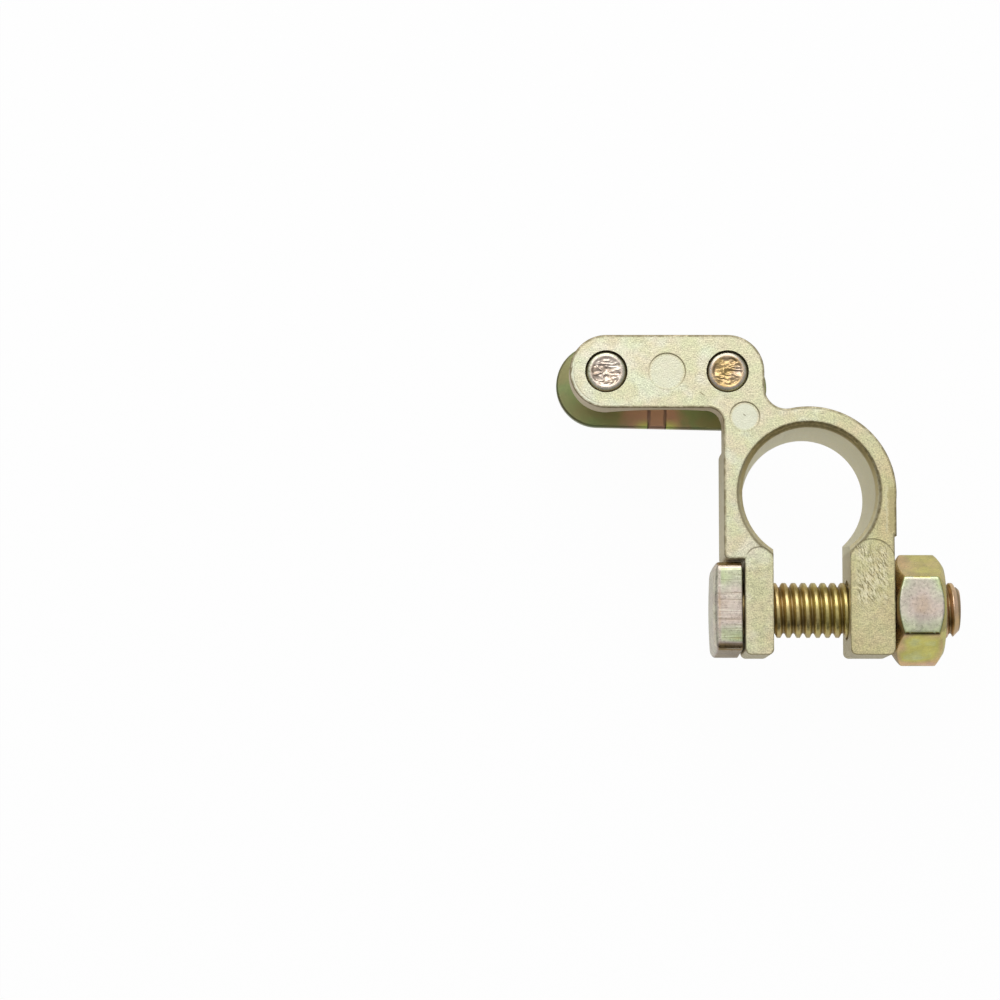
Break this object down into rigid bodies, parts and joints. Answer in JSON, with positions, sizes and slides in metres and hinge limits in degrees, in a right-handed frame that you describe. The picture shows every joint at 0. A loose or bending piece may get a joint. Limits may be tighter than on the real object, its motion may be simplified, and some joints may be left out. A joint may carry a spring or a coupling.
{
  "type": "battery terminal clamp",
  "caption": "Cast split-ring battery terminal clamp with a tapered post bore, a square-headed clamping bolt and nut, and a cable arm with a screwed-on saddle plate.",
  "frame": {"origin": "on the axis of the tapered post bore, at half the height of the ring, level with the bolt axis", "axes": "+Z along the bore towards its wide mouth (the battery side), +X along the clamp bolt towards its nut, +Y from the bolt towards the cable arm"},
  "size_m": [0.0578, 0.0484, 0.0253],
  "materials": {
    "casting": "satin sandy die-cast skin, pale yellow passivated",
    "bolt_zinc": "iridescent yellow zinc plate",
    "nut_zinc": "iridescent yellow zinc plate",
    "plate_zinc": "olive yellow zinc plate",
    "screw_zinc": "yellow zinc plate, rough sheared ends"
  },
  "bodies": {
    "clamp": {"clamp_body": "casting"},
    "bolt": {"clamp_bolt": "bolt_zinc"},
    "nut": {"clamp_nut": "nut_zinc"},
    "saddle": {"saddle_plate": "plate_zinc"},
    "screw_outer": {"saddle_screw_outer": "screw_zinc"},
    "screw_inner": {"saddle_screw_inner": "screw_zinc"}
  },
  "joints": [
    {"name": "nut_turn", "type": "hinge", "parent": "clamp", "child": "nut", "pos_m": [0.0123, -0.0164, 0], "axis": [1, 0, 0], "range_deg": [-90, 540]},
    {"name": "bolt_slide", "type": "slide", "parent": "clamp", "child": "bolt", "axis": [-1, 0, 0], "range_m": [-0.00035, 0.00212]},
    {"name": "saddle_slide", "type": "slide", "parent": "clamp", "child": "saddle", "axis": [0, 0, 1], "range_m": [-0.003, 0.012]},
    {"name": "screw_outer_turn", "type": "hinge", "parent": "saddle", "child": "screw_outer", "pos_m": [-0.02896, 0.01753, 0], "axis": [0, 0, 1], "range_deg": [-1080, 4320]},
    {"name": "screw_inner_turn", "type": "hinge", "parent": "saddle", "child": "screw_inner", "pos_m": [-0.01157, 0.01753, 0], "axis": [0, 0, 1], "range_deg": [-1080, 4320]}
  ],
  "couplings": [
    {"joint": "nut_turn", "follows": "bolt_slide", "rad_per_m": 4452.9},
    {"joint": "screw_outer_turn", "follows": "saddle_slide", "rad_per_m": 6283.2},
    {"joint": "screw_inner_turn", "follows": "saddle_slide", "rad_per_m": 6283.2}
  ]
}
